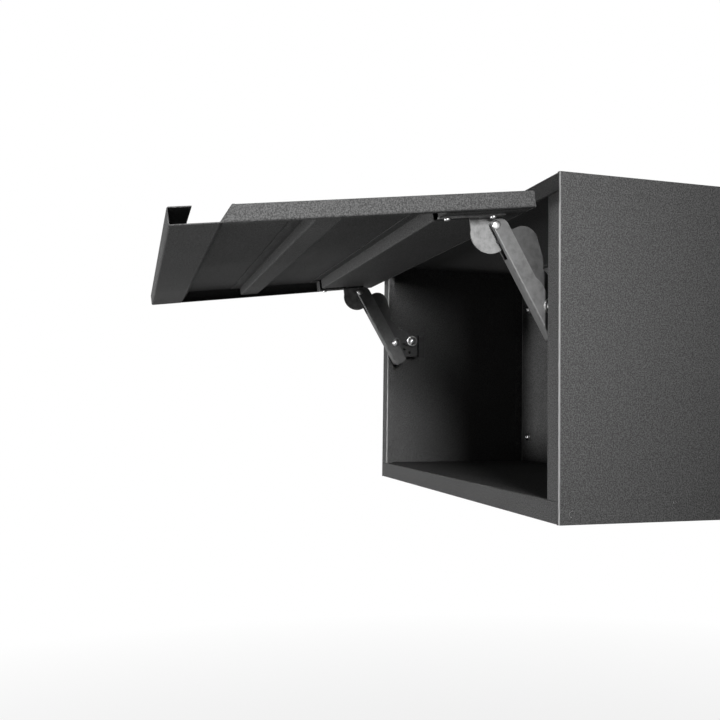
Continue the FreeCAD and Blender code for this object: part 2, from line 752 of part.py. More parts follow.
def opened(shape):
    """Set a shape of the flat door into the open position."""
    base = Vector(0, DOOR_OPEN_Y - BODY_DEPTH, DOOR_OPEN_Z - HEIGHT / 2)
    place = Placement(base, Rotation(Vector(1, 0, 0), DOOR_TILT))
    moved = shape.copy()
    moved.Placement = place.multiply(shape.Placement)
    return moved


def flat_point(u, s, d):
    """A point of the flat door."""
    return Vector(WIDTH / 2 - u, -s, -d)


def door_panel():
    """Door skin with its hinge wall, side flanges, finger recess and grip edge."""
    half = WIDTH / 2 - DOOR_INSET
    end, depth = DOOR_LENGTH, DOOR_THICKNESS
    recess = end - RECESS_WIDTH
    crease = recess - RECESS_SLOPE
    outline = [
        (0.0, -depth),
        (0.0, 0.0),
        (-crease, 0.0),
        (-recess, SHEET - depth),
        (SHEET - end, SHEET - depth),
        (SHEET - end, -SHEET),
        (GRIP_WIDTH - end, -SHEET),
    ]
    panel = extrude_x(folded_face(outline, SHEET), -half, half)
    flange_end = crease - SIDE_FLANGE_CUT
    corner = SHEET + BEND
    for side in (1, -1):
        x0, x1 = sorted((side * (half - corner), side * (half + SHEET)))
        panel = panel.cut(box(x0, x1, -flange_end, SHEET, -depth - SHEET, SHEET))
    lip = half - DOOR_LIP
    tray = [(lip, -depth), (half, -depth), (half, 0.0), (-half, 0.0), (-half, -depth), (-lip, -depth)]
    tray = extrude_y(folded_face(tray, SHEET), -recess, -corner)
    below = depth + SHEET
    slope = RECESS_SLOPE * below / depth
    wedge = polygon([(-flange_end, SHEET), (-flange_end - slope, -below), (-end, -below), (-end, SHEET)])
    tray = tray.cut(extrude_x(wedge, -WIDTH, WIDTH))
    return opened(panel.fuse(tray).removeSplitter())


def door_rib():
    """Hat-section stiffener across the middle of the door."""
    half = WIDTH / 2 - DOOR_INSET - RIB_END_GAP
    high, low = RIB_CENTRE + RIB_TOP / 2, RIB_CENTRE - RIB_TOP / 2
    top, bottom = -2 * SHEET, -SHEET - RIB_HEIGHT
    outline = [
        (-high - RIB_FLANGE, top),
        (-high, top),
        (-high, bottom),
        (-low, bottom),
        (-low, top),
        (RIB_FLANGE - low, top),
    ]
    return opened(extrude_x(folded_face(outline, SHEET), -half, half))


def door_channel():
    """Stiffener along the hinge edge that the brackets stand on, notched for the arms."""
    half = WIDTH / 2 - DOOR_INSET - CHANNEL_END_GAP
    outline = [
        (-CHANNEL_FRONT - CHANNEL_FLANGE, -2 * SHEET),
        (-CHANNEL_FRONT, -2 * SHEET),
        (-CHANNEL_FRONT, -DOOR_THICKNESS),
        (-CHANNEL_REAR, -DOOR_THICKNESS),
        (-CHANNEL_REAR, CHANNEL_REAR_WALL - DOOR_THICKNESS),
    ]
    channel = extrude_x(folded_face(outline, SHEET), -half, half)
    notch = box(
        WIDTH / 2 - ARM_OUTER - ARM_WIDTH - NOTCH_CLEARANCE,
        WIDTH / 2 - ARM_OUTER + NOTCH_CLEARANCE,
        -CHANNEL_FRONT - 2 * CHANNEL_FLANGE,
        -NOTCH_START,
        -DOOR_THICKNESS - SHEET,
        0.0,
    )
    channel = channel.cut([notch, mirrored(notch)])
    for place in bracket_screw_places():
        hole = rod(place, place + Vector(0, 0, SCREW_GRIP), SCREW_RADIUS + PIN_CLEARANCE)
        channel = channel.cut([hole, mirrored(hole)])
    return opened(channel)


def bracket_screw_places():
    """Where the bracket's screws enter the right end of the channel, on its underside."""
    u = BRACKET_TAB_INNER - BRACKET_FLANGE_WIDTH + BRACKET_STRIP_WIDTH / 2
    return [flat_point(u, s, DOOR_THICKNESS) for s in BRACKET_SCREW_PLACES]


def bracket_tab():
    """Faces of the tab: a round lobe and a straight root."""
    s, d, radius = BRACKET_LOBE
    start, edge, root = -BRACKET_START, -BRACKET_TAB_EDGE, -DOOR_THICKNESS
    return [disc(-s, -d, radius), polygon([(start, root), (edge, root), (edge, -d), (start, -d)])]


def bracket_step():
    """Where the wide flange ends, clear of the arm's front edge when the door is shut."""
    lean = math.radians(ARM_LEAN + swing_about(ARM_PIVOT, UPPER_PIVOT))
    pivot = closed_place(UPPER_PIVOT)
    surface = BRACKET_SHEET - DOOR_GAP + BRACKET_STEP_CLEARANCE
    along = (surface - pivot[0] + ARM_FRONT_EDGE * math.cos(lean)) / math.sin(lean)
    return HEIGHT - pivot[1] + ARM_FRONT_EDGE * math.sin(lean) + along * math.cos(lean)


def door_bracket():
    """Angle bracket: a screwed flange with a narrow tail, and the tab that carries the pivots."""
    tab = WIDTH / 2 - BRACKET_TAB_INNER
    edge = tab + BRACKET_FLANGE_WIDTH
    under = DOOR_THICKNESS + BRACKET_SHEET
    lowest = BRACKET_LOBE[1] + BRACKET_LOBE[2] + BRACKET_SHEET
    outline = [(edge, -DOOR_THICKNESS), (tab, -DOOR_THICKNESS), (tab, -lowest)]
    angle = extrude_y(folded_face(outline, BRACKET_SHEET, BRACKET_BEND), -BRACKET_END, -BRACKET_START)
    blank = plate(bracket_tab(), tab, tab + BRACKET_SHEET)
    flange = box(tab, edge, -bracket_step(), -BRACKET_START, -under - BRACKET_BEND, -DOOR_THICKNESS)
    strip = box(edge - BRACKET_STRIP_WIDTH, edge, -BRACKET_END, -BRACKET_START, -under, -DOOR_THICKNESS)
    bracket = angle.common(blank.fuse([flange, strip]))
    for pivot, radius in ((UPPER_PIVOT, DOOR_PIN_RADIUS), (LINK_RIVET, LINK_RIVET_RADIUS)):
        s, d = door_local(pivot)
        hole = rod(Vector(0, -s, -d), Vector(WIDTH / 2, -s, -d), radius + PIN_CLEARANCE)
        bracket = bracket.cut(hole)
    for place in bracket_screw_places():
        hole = rod(place, place - Vector(0, 0, 2 * BRACKET_SHEET), SCREW_RADIUS + PIN_CLEARANCE)
        bracket = bracket.cut(hole)
    middle = edge - BRACKET_STRIP_WIDTH / 2
    for s in BRACKET_SLOT:
        start = Vector(middle, -s, 0)
        bracket = bracket.cut(rod(start, start - Vector(0, 0, 2 * under), BRACKET_SLOT_RADIUS))
    first, last = BRACKET_SLOT
    narrow = BRACKET_SLOT_RADIUS
    bracket = bracket.cut(box(middle - narrow, middle + narrow, -last, -first, -2 * under, 0.0))
    return opened(bracket.removeSplitter())


def bracket_screw(place):
    """Pan-head screw through the bracket into the channel."""
    seat = place - Vector(0, 0, BRACKET_SHEET)
    head = flat_head(seat, Vector(0, 0, -1), SCREW_HEAD_RADIUS, SCREW_HEAD_HEIGHT)
    return rod(seat, place + Vector(0, 0, SCREW_GRIP), SCREW_RADIUS).fuse(head).removeSplitter()


def bracket_screws():
    """All four screws of the two brackets."""
    screws = [bracket_screw(place) for place in bracket_screw_places()]
    return [opened(screw) for screw in screws + [mirrored(screw) for screw in screws]]


# Assembly

def export_pair(name, *solids):
    """Write one node that holds a piece of each side."""
    export(name, *(list(solids) + [mirrored(solid) for solid in solids]))


def export_sides(name, *solids):
    """Write a right-hand node and its mirror image."""
    export(name + "_right", *solids)
    export(name + "_left", *[mirrored(solid) for solid in solids])


def build_body():
    """The fixed body and what is fastened to it."""
    export_sides("side_panel", side_panel())
    export("top_panel", top_panel())
    export("bottom_panel", bottom_panel())
    export("back_panel", back_panel())
    export("wall_bolts", *[wall_bolt(place) for place in bolt_places()])
    export("wall_bolt_washers", *[wall_bolt_washer(place) for place in bolt_places()])
    export_sides("wall_bracket", wall_bracket())
    export_pair("arm_pivot_rivets", arm_pivot_rivet())
    arm_washer = sleeve(ARM_PIVOT, CARRIER_INNER, ARM_OUTER - RUNNING_GAP, WASHER_RADIUS, ARM_PIN_RADIUS)
    export_pair("arm_pivot_washers", arm_washer)
    export_pair("link_pivot_bolts", link_bolt())
    export_pair("link_pivot_nuts", link_bolt_nut())
    spacer = sleeve(LINK_PIVOT, CARRIER_INNER, LINK_OUTER - RUNNING_GAP, WASHER_RADIUS, LINK_BOLT_RADIUS)
    export_pair("link_pivot_spacers", spacer)


def build_linkage():
    """The moving parts of the two lift linkages."""
    export_sides("stay_arm", stay_arm())
    export_sides("door_pivot_pin", door_pin())
    export_sides("door_pivot_washers", *door_pin_washers())
    export_sides("rear_link", rear_link())
    export_sides("rear_link_rivet", link_rivet())


def build_door():
    """The flap door and the brackets screwed to it."""
    export("door_panel", door_panel())
    export("door_rib", door_rib())
    export("door_channel", door_channel())
    export_sides("door_bracket", door_bracket())
    export("door_bracket_screws", *bracket_screws())
    export_pair("door_bracket_rivets", tab_rivet())


def report_linkage():
    """Print where the joints lie and how far each one turns from open to closed."""
    for name, point in (
        ("arm_pivot", ARM_PIVOT),
        ("link_pivot", LINK_PIVOT),
        ("door_pivot", UPPER_PIVOT),
        ("link_rivet", LINK_RIVET),
    ):
        place = side_point(0, *point)
        print("%s at Y %.4f Z %.4f" % (name, place.y, place.z))
    arm = swing_about(ARM_PIVOT, UPPER_PIVOT)
    print("door closes by %.4f degrees about +X" % (90.0 - DOOR_TILT))
    print("arm closes by %.4f degrees about +X" % arm)
    print("link closes by %.4f degrees about +X" % swing_about(LINK_PIVOT, LINK_RIVET))
    print("door against arm %.4f degrees" % (90.0 - DOOR_TILT - arm))


os.makedirs("parts", exist_ok=True)
build_body()
build_linkage()
build_door()
report_linkage()
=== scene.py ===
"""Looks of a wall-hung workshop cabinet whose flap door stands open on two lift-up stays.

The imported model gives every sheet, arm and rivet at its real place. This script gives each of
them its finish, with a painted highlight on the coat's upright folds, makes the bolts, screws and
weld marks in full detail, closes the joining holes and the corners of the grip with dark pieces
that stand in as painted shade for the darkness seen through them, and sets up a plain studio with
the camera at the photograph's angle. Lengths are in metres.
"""

import logging
import math
from dataclasses import dataclass, field
from enum import Enum
from typing import Callable, NamedTuple, Sequence

import bmesh
import bpy
from mathutils import Matrix, Vector


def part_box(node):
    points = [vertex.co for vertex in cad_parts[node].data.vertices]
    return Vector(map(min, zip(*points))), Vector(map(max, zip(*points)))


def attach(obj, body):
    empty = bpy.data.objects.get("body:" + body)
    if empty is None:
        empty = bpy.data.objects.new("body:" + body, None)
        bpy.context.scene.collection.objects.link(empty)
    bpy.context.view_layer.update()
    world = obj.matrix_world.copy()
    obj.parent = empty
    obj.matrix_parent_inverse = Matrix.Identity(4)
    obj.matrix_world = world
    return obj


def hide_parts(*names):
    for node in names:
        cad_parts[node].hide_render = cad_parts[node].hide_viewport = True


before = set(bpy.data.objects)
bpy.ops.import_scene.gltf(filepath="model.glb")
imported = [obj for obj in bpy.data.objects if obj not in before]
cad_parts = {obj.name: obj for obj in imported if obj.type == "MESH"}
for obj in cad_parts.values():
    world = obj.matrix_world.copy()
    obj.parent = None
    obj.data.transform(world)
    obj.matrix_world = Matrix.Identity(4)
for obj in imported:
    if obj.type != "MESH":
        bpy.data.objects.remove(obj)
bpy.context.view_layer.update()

log = logging.getLogger("cabinet")

MM = 0.001
QUARTER_TURN = math.pi / 2
ROUND_SWEEP = 0.48 * math.pi  # turn of a round head, which stops just short of a point
SMOOTH_BELOW = math.radians(35)  # angle up to which an edge is shaded as a curve
THREAD_DEPTH = 0.54  # depth of a thread, as a share of its pitch
RECESS_POINT = 0.2 * MM  # radius of a recess at its lowest point
DOOR_TILT = math.radians(7.2)  # slope of the open door, down to its free edge
DOOR_THICKNESS = 16.5 * MM
# Turns a piece drawn along +Z so that it stands out of the open door's underside.
DOWN_FROM_DOOR = Matrix.Rotation(math.pi + DOOR_TILT, 4, "X")

ColourRGBA = tuple[float, float, float, float]
RingShape = Callable[[float], float]
Rings = list[tuple[float, float | RingShape]]


class Slot(Enum):
    """Names of material slots for new pieces; nothing in this script reads them."""

    BODY = "body_paint"
    DOOR = "door_paint"
    BRIGHT = "bright_steel"


def grey(level: float) -> ColourRGBA:
    """A neutral colour of one linear level."""
    return (level, level, level, 1.0)


def fill(node: bpy.types.Node, values: dict[str, object]) -> None:
    """Set a node's input sockets by name."""
    for socket, value in values.items():
        node.inputs[socket].default_value = value


class NodeGraph:
    """Small helper that builds a node tree from left to right."""

    def __init__(self, tree: bpy.types.NodeTree) -> None:
        """Take a tree and empty it."""
        self.tree = tree
        self.tree.nodes.clear()

    def add(self, kind: str, inputs: dict[str, object] | None = None,
            **settings: object) -> bpy.types.Node:
        """Add a node, set its properties and fill its input sockets.

        Args:
            kind: Blender's identifier of the node.
            inputs: values of input sockets, by name.
            settings: properties of the node, by name.

        Returns:
            The new node.
        """
        node = self.tree.nodes.new(kind)
        for key, value in settings.items():
            setattr(node, key, value)
        fill(node, inputs or {})
        return node

    def link(self, a: bpy.types.Node, output: str, b: bpy.types.Node, socket: str | int) -> None:
        """Join an output of one node to an input of another."""
        self.tree.links.new(a.outputs[output], b.inputs[socket])

    def seen_ray(self) -> bpy.types.Node:
        """One where the camera, a mirror or a glass sees the surface, else zero.

        Returns:
            The last node of the sum, whose Value is the answer.
        """
        path = self.add("ShaderNodeLightPath")
        either = self.add("ShaderNodeMath", operation="MAXIMUM")
        self.link(path, "Is Camera Ray", either, 0)
        self.link(path, "Is Glossy Ray", either, 1)
        any_of = self.add("ShaderNodeMath", operation="MAXIMUM")
        self.link(either, "Value", any_of, 0)
        self.link(path, "Is Transmission Ray", any_of, 1)
        return any_of


class ShaderGraph(NodeGraph):
    """The node tree of a new material."""

    def __init__(self, name: str) -> None:
        """Make a material with an output and a Principled shader.

        Args:
            name: the material's name.
        """
        material = bpy.data.materials.new(name)
        material.use_nodes = True
        super().__init__(material.node_tree)
        self.output = self.add("ShaderNodeOutputMaterial")
        self.shader = self.add("ShaderNodeBsdfPrincipled")
        self.link(self.shader, "BSDF", self.output, "Surface")

    def place(self) -> bpy.types.Node:
        """A node that gives object coordinates."""
        return self.add("ShaderNodeTexCoord")

    def noise(self, scale: float, detail: float = 2.0, rough: float = 0.5) -> bpy.types.Node:
        """A noise pattern on object coordinates.

        Args:
            scale: repeats to the metre.
            detail: octaves added to the coarse pattern.
            rough: strength of each added octave.

        Returns:
            The noise node, whose Fac is the pattern.
        """
        node = self.add("ShaderNodeTexNoise", {"Scale": scale, "Detail": detail, "Roughness": rough})
        self.link(self.place(), "Object", node, "Vector")
        return node

    def ramp(self, source: bpy.types.Node, output: str, span: tuple[float, float],
             result: tuple[float, float] = (0.0, 1.0)) -> bpy.types.Node:
        """Map a pattern to a range.

        Args:
            source: the node that gives the pattern.
            output: name of its output.
            span: the pattern's values that give the ends of the result.
            result: first and last value of the result.

        Returns:
            The mapping node, whose Result is the mapped pattern.
        """
        ends = {"From Min": span[0], "From Max": span[1], "To Min": result[0], "To Max": result[1]}
        node = self.add("ShaderNodeMapRange", ends)
        self.link(source, output, node, "Value")
        return node

    def blend(self, share: bpy.types.Node, first: float, second: float) -> bpy.types.Node:
        """A mix of two greys.

        Args:
            share: the node whose Result is the share of the second grey.
            first: linear level of the first grey.
            second: linear level of the second grey.

        Returns:
            The mixing node, whose Color is the mix.
        """
        colours = {"Color1": grey(first), "Color2": grey(second)}
        node = self.add("ShaderNodeMixRGB", colours, blend_type="MIX")
        self.link(share, "Result", node, "Fac")
        return node

    def bump(self, height: bpy.types.Node, strength: float, depth: float,
             under: bpy.types.Node | None = None) -> bpy.types.Node:
        """Relief from a pattern.

        Args:
            height: the node whose Fac is the height.
            strength: share of the relief that shows.
            depth: height of the relief in metres.
            under: a coarser relief that this one lies on.

        Returns:
            The bump node, whose Normal carries the relief.
        """
        node = self.add("ShaderNodeBump", {"Strength": strength, "Distance": depth})
        self.link(height, "Fac", node, "Height")
        if under is not None:
            self.link(under, "Normal", node, "Normal")
        return node


@dataclass(frozen=True)
class Finish:
    """A surface finish, made once and shared by all pieces that have it.

    Attributes:
        name: the material's name.
        level: linear level of the base colour.
        roughness: mean roughness.
    """

    name: str
    level: float
    roughness: float

    def material(self) -> bpy.types.Material:
        """The finish's material, made at its first use.

        Returns:
            The material.
        """
        if self.name not in bpy.data.materials:
            self.mix(ShaderGraph(self.name))
        return bpy.data.materials[self.name]

    def mix(self, graph: ShaderGraph) -> None:
        """Fill the material's node tree; each kind of finish does this in its own way."""
        raise NotImplementedError

    def vary_sheen(self, graph: ShaderGraph, pattern: bpy.types.Node,
                   smoother: float, rougher: float) -> None:
        """Let the roughness follow a pattern.

        Args:
            graph: the material's node tree.
            pattern: the node whose Fac is the pattern.
            smoother: how far the roughness goes below its mean.
            rougher: how far the roughness goes above its mean.
        """
        reach = (self.roughness - smoother, self.roughness + rougher)
        sheen = graph.ramp(pattern, "Fac", span=(0.3, 0.7), result=reach)
        graph.link(sheen, "Result", graph.shader, "Roughness")


@dataclass(frozen=True)
class PowderCoat(Finish):
    """Dark powder coat with a fine orange-peel relief.

    Attributes:
        grain: width of one grain of the relief.
        relief: height of the grain.
        wave_rate: waves that lie under the grain, for each grain.
        wave_relief: height of the waves, as a multiple of the relief.
        speck_dark: brightness of the darkest specks, as a share of the level.
        speck_light: brightness of the lightest specks, as a share of the level.
        specular: strength of the reflection.
        fold_highlight_level: brightness of the highlight painted on the upright folds.
    """

    grain: float = 1.35 * MM
    relief: float = 0.4 * MM
    wave_rate: float = 0.22
    wave_relief: float = 2.0
    speck_dark: float = 0.6
    speck_light: float = 1.5
    specular: float = 0.008
    fold_highlight_level: float = 0.21

    def painted_fold_highlights(self, graph: ShaderGraph) -> bpy.types.Node:
        """One on the rounded folds that run upright, where a highlight is painted into the coat, else
        zero.

        Args:
            graph: the node tree that gets the nodes.

        Returns:
            The node whose Result is the answer.
        """
        facing = graph.add("ShaderNodeVectorMath", operation="ABSOLUTE")
        graph.link(graph.place(), "Normal", facing, 0)
        axes = graph.add("ShaderNodeSeparateXYZ")
        graph.link(facing, "Vector", axes, 0)
        least = graph.add("ShaderNodeMath", operation="MINIMUM")
        graph.link(axes, "X", least, 0)
        graph.link(axes, "Y", least, 1)
        return graph.ramp(least, "Value", span=(0.15, 0.4))

    def mix(self, graph: ShaderGraph) -> None:
        """Relief of two sizes, a slightly uneven sheen, faint specks in the colour and a painted
        highlight on the upright folds.

        Args:
            graph: the new material's node tree.
        """
        shader = graph.shader
        fill(shader, {"Metallic": 0.0, "Specular IOR Level": self.specular})
        fine = graph.noise(1.0 / self.grain, detail=2.5, rough=0.65)
        coarse = graph.noise(self.wave_rate / self.grain, detail=1.0)
        waves = graph.bump(coarse, strength=0.4, depth=self.wave_relief * self.relief)
        grain = graph.bump(fine, strength=1.0, depth=self.relief, under=waves)
        graph.link(grain, "Normal", shader, "Normal")
        specks = graph.ramp(fine, "Fac", span=(0.38, 0.64))
        coat = graph.blend(specks, self.speck_dark * self.level, self.speck_light * self.level)
        # painted highlight: the upright folds get a lighter colour that stands in for the lamp's gleam
        # on them
        folds = graph.blend(self.painted_fold_highlights(graph), self.level, self.fold_highlight_level)
        graph.link(coat, "Color", folds, "Color1")
        graph.link(folds, "Color", shader, "Base Color")
        self.vary_sheen(graph, graph.noise(6.0, detail=3.0), smoother=0.04, rougher=0.04)


@dataclass(frozen=True)
class ZincPlate(Finish):
    """Zinc-plated sheet steel with soft clouds.

    Attributes:
        cloud: how far the clouds go above and below the level, as a share of it.
    """

    cloud: float = 0.16

    def mix(self, graph: ShaderGraph) -> None:
        """Cloudy brightness and sheen with fine rolling marks.

        Args:
            graph: the new material's node tree.
        """
        shader = graph.shader
        fill(shader, {"Metallic": 1.0})
        clouds = graph.noise(150.0, detail=4.0, rough=0.6)
        share = graph.ramp(clouds, "Fac", span=(0.35, 0.65))
        tint = graph.blend(share, (1.0 - self.cloud) * self.level, (1.0 + self.cloud) * self.level)
        graph.link(tint, "Color", shader, "Base Color")
        self.vary_sheen(graph, clouds, smoother=0.07, rougher=0.09)
        marks = graph.bump(graph.noise(1500.0, detail=2.0), strength=0.35, depth=0.02 * MM)
        graph.link(marks, "Normal", shader, "Normal")


@dataclass(frozen=True)
class BrightPlate(Finish):
    """Bright-plated fasteners with faint tool marks."""

    def mix(self, graph: ShaderGraph) -> None:
        """Near-mirror metal with a little haze.

        Args:
            graph: the new material's node tree.
        """
        shader = graph.shader
        fill(shader, {"Metallic": 1.0, "Base Color": grey(self.level)})
        self.vary_sheen(graph, graph.noise(400.0, detail=3.0), smoother=0.05, rougher=0.08)
        marks = graph.bump(graph.noise(2500.0, detail=1.0), strength=0.3, depth=0.01 * MM)
        graph.link(marks, "Normal", shader, "Normal")


@dataclass(frozen=True)
class PaleFloor(Finish):
    """Plain pale ground that keeps the shadow and fades into the white background.

    Attributes:
        glow: share of plain white that the camera sees straight below the cabinet.
        fade_start: distance from the cabinet at which the share begins to rise.
        fade_end: distance from which the ground is plain white.
    """

    glow: float = 0.72
    fade_start: float = 1.2
    fade_end: float = 4.0

    def mix(self, graph: ShaderGraph) -> None:
        """Matte ground, mixed with white where the camera or a reflection sees it.

        Args:
            graph: the new material's node tree.
        """
        matte = {"Base Color": grey(self.level), "Roughness": self.roughness, "Specular IOR Level": 0.0}
        fill(graph.shader, matte)
        white = graph.add("ShaderNodeEmission", {"Color": grey(1.0), "Strength": 1.0})
        distance = graph.add("ShaderNodeVectorMath", operation="LENGTH")
        graph.link(graph.place(), "Object", distance, 0)
        fade = graph.ramp(distance, "Value", (self.fade_start, self.fade_end), (self.glow, 1.0))
        share = graph.add("ShaderNodeMath", operation="MULTIPLY")
        graph.link(fade, "Result", share, 0)
        graph.link(graph.seen_ray(), "Value", share, 1)
        both = graph.add("ShaderNodeMixShader")
        graph.link(share, "Value", both, 0)
        graph.link(graph.shader, "BSDF", both, 1)
        graph.link(white, "Emission", both, 2)
        graph.link(both, "Shader", graph.output, "Surface")


BODY_COAT = PowderCoat("dark_powder_coat", level=0.06, roughness=0.6)
DOOR_COAT = PowderCoat("dark_powder_coat_door", level=0.06, roughness=0.56)
TAB_ZINC = ZincPlate("zinc_plate_tabs", level=0.125, roughness=0.56, cloud=0.32)
ARM_ZINC = ZincPlate("zinc_plate_arms", level=0.078, roughness=0.5)
# painted shade: a darker copy of the arms' zinc for the rear links, which sit behind the arms, and the
# wall brackets inside the cabinet
SHADED_LINK_ZINC = ZincPlate("zinc_plate_links_painted_shade", level=0.042, roughness=0.5)
BRIGHT = BrightPlate("bright_plate", level=0.45, roughness=0.33)
BOLT_BRIGHT = BrightPlate("bright_plate_bolts", level=0.85, roughness=0.22)
GROUND = PaleFloor("pale_ground", level=0.38, roughness=0.9)


def add_object(name: str, data: bpy.types.ID) -> bpy.types.Object:
    """Put a new object into the scene.

    Args:
        name: the object's name.
        data: its mesh, lamp or camera.

    Returns:
        The new object.
    """
    made = bpy.data.objects.new(name, data)
    bpy.context.scene.collection.objects.link(made)
    return made


def plain_mesh(name: str, built: bmesh.types.BMesh) -> bpy.types.Mesh:
    """Turn built faces into a mesh and let the builder go.

    Args:
        name: the mesh's name.
        built: the faces.

    Returns:
        The new mesh.
    """
    mesh = bpy.data.meshes.new(name)
    built.to_mesh(mesh)
    built.free()
    return mesh


def hexagon_ring(flats: float) -> RingShape:
    """A hexagon as a radius for each angle.

    Args:
        flats: distance between opposite sides.

    Returns:
        The radius as a function of the angle.
    """
    def radius(angle: float) -> float:
        """Distance from the axis to the side that this angle meets."""
        folded = (angle + math.pi / 6) % (math.pi / 3) - math.pi / 6
        return flats / 2 / math.cos(folded)
    return radius


def cross_ring(reach: float, width: float) -> RingShape:
    """A cross-shaped recess as a radius for each angle.

    Args:
        reach: distance from the middle to the end of an arm.
        width: width of an arm.

    Returns:
        The radius as a function of the angle.
    """
    def radius(angle: float) -> float:
        """Distance from the axis to the arm's end or flank."""
        slant = math.sin(abs((angle + math.pi / 4) % QUARTER_TURN - math.pi / 4))
        return reach if reach * slant < width / 2 else width / 2 / slant
    return radius


def ring_stack(name: str, rings: Rings, sides: int) -> bpy.types.Mesh:
    """Closed mesh through a stack of rings round the Z axis, capped at both ends.

    Args:
        name: the mesh's name.
        rings: height of each ring, with its radius or its shape, from one end to the other.
        sides: points in each ring.

    Returns:
        The new mesh, smooth where it curves gently.
    """
    built = bmesh.new()
    loops = []
    for height, shape in rings:
        loop = []
        for step in range(sides):
            angle = 2 * math.pi * step / sides
            reach = shape(angle) if callable(shape) else shape
            loop.append(built.verts.new((reach * math.cos(angle), reach * math.sin(angle), height)))
        loops.append(loop)
    for low, high in zip(loops[:-1], loops[1:]):
        for step in range(sides):
            after = (step + 1) % sides
            built.faces.new((low[step], low[after], high[after], high[step]))
    built.faces.new(list(reversed(loops[0])))
    built.faces.new(loops[-1])
    bmesh.ops.recalc_face_normals(built, faces=built.faces)
    mesh = plain_mesh(name, built)
    mesh.polygons.foreach_set("use_smooth", [True] * len(mesh.polygons))
    mesh.set_sharp_from_angle(angle=SMOOTH_BELOW)
    return mesh


def dome_rings(seat: float, tip: float, radius: float, crown: float = 0.0, steps: int = 6) -> Rings:
    """Rings of a round head from its seat to its tip.

    Args:
        seat: height of the seat.
        tip: height of the tip, above or below the seat.
        radius: radius at the seat.
        crown: radius of the flat at the tip; without one the head is round to its middle.
        steps: rings after the one at the seat.

    Returns:
        Height and radius of each ring.
    """
    sweep = QUARTER_TURN if crown else ROUND_SWEEP
    turns = [sweep * i / steps for i in range(steps + 1)]
    return [
        (seat + (tip - seat) * math.sin(turn), crown + (radius - crown) * math.cos(turn))
        for turn in turns
    ]


def threaded_rings(start: float, end: float, radius: float, pitch: float, steps: int = 6) -> Rings:
    """Rings of a bar whose surface carries a screw thread.

    Args:
        start: height of the first ring.
        end: height of the last ring.
        radius: outer radius of the thread.
        pitch: distance from one crest to the next.
        steps: rings to each pitch.

    Returns:
        Height and shape of each ring.
    """
    depth = THREAD_DEPTH * pitch

    def shape_at(height: float) -> RingShape:
        """The outline at one height; the thread fades out at both ends.

        Args:
            height: the height of the ring.

        Returns:
            The radius as a function of the angle.
        """
        fade = min(1.0, (height - start) / pitch, (end - height) / pitch)

        def radius_at(angle: float) -> float:
            """Radius between crest and root, which turn with the height."""
            phase = (height / pitch - angle / (2 * math.pi)) % 1.0
            return radius - depth * fade * abs(2 * phase - 1)
        return radius_at

    count = max(2, round((end - start) / pitch * steps))
    heights = [start + (end - start) * i / count for i in range(count + 1)]
    return [(height, shape_at(height)) for height in heights]


def weld_mark(radius: float) -> bpy.types.Mesh:
    """Shallow ring with a sunk middle, as a spot weld leaves under paint.

    Args:
        radius: outer radius of the mark.

    Returns:
        Mesh about its own origin, standing on z = 0.
    """
    rings = [
        (-0.02 * MM, radius),
        (0.05 * MM, 0.94 * radius),
        (0.14 * MM, 0.82 * radius),
        (0.13 * MM, 0.70 * radius),
        (0.03 * MM, 0.58 * radius),
        (0.02 * MM, 0.10 * radius),
    ]
    return ring_stack("weld_mark", rings, sides=24)


class Row(NamedTuple):
    """Copies in a straight row.

    Attributes:
        step: step from one copy to the next.
        count: number of copies.
    """

    step: Vector
    count: int


ALONE = Row(Vector(), 1)


